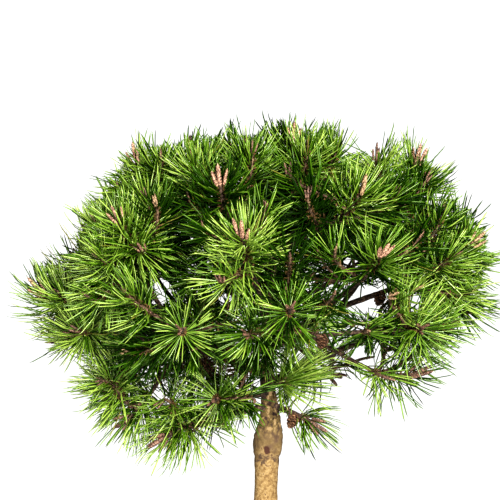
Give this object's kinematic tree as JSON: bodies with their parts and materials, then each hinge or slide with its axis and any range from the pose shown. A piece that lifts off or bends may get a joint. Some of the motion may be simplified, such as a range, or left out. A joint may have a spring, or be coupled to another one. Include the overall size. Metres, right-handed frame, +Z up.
{
  "type": "mugo pine",
  "caption": "Young mugo pine grafted on a clear straight stem, with a knob at the graft and a round, dense crown of upturned needle shoots.",
  "frame": {"origin": "middle of the flat cut under the stem, at ground level", "axes": "+Z up along the stem, front towards -Y, +X to the right seen from the front"},
  "size_m": [0.5028, 0.4822, 0.8347],
  "materials": {
    "stem_bark": "matte tan bark, rough and purple-brown above the graft",
    "bough_bark": "matte dark scaly bark",
    "foliage": "satin green needles",
    "buds": "satin resinous bud scales",
    "cones": "matte cone scales"
  },
  "bodies": {
    "root": {"trunk": "stem_bark", "bough_back_left_low": "bough_bark", "bough_back_left_shoulder": "bough_bark", "bough_back_mid": "bough_bark", "bough_back_right_low": "bough_bark", "bough_back_right_shoulder": "bough_bark", "bough_front_brow": "bough_bark", "bough_front_left_low": "bough_bark", "bough_front_mid": "bough_bark", "bough_front_right_high": "bough_bark", "bough_front_right_low": "bough_bark", "bough_front_right_mid": "bough_bark", "bough_left_hollow": "bough_bark", "bough_left_shoulder": "bough_bark", "bough_left_wing": "bough_bark", "bough_right_wing": "bough_bark", "bough_skirt_back_left": "bough_bark", "bough_skirt_back_right": "bough_bark", "bough_skirt_front_left": "bough_bark", "bough_skirt_left": "bough_bark", "bough_skirt_left_front": "bough_bark", "bough_skirt_left_low": "bough_bark", "bough_skirt_right": "bough_bark", "bough_top_back": "bough_bark", "bough_top_front": "bough_bark", "bough_top_left": "bough_bark", "bough_top_right": "bough_bark", "foliage_back_left_low": "foliage", "foliage_back_left_shoulder": "foliage", "foliage_back_mid": "foliage", "foliage_back_right_low": "foliage", "foliage_back_right_shoulder": "foliage", "foliage_front_brow": "foliage", "foliage_front_left_low": "foliage", "foliage_front_mid": "foliage", "foliage_front_right_high": "foliage", "foliage_front_right_low": "foliage", "foliage_front_right_mid": "foliage", "foliage_left_hollow": "foliage", "foliage_left_shoulder": "foliage", "foliage_left_wing": "foliage", "foliage_right_wing": "foliage", "foliage_skirt_back_left": "foliage", "foliage_skirt_back_right": "foliage", "foliage_skirt_front_left": "foliage", "foliage_skirt_inner": "foliage", "foliage_skirt_left": "foliage", "foliage_skirt_left_front": "foliage", "foliage_skirt_left_low": "foliage", "foliage_skirt_right": "foliage", "foliage_top": "foliage", "foliage_top_back": "foliage", "foliage_top_front": "foliage", "foliage_top_left": "foliage", "foliage_top_right": "foliage"}
  },
  "joints": []
}
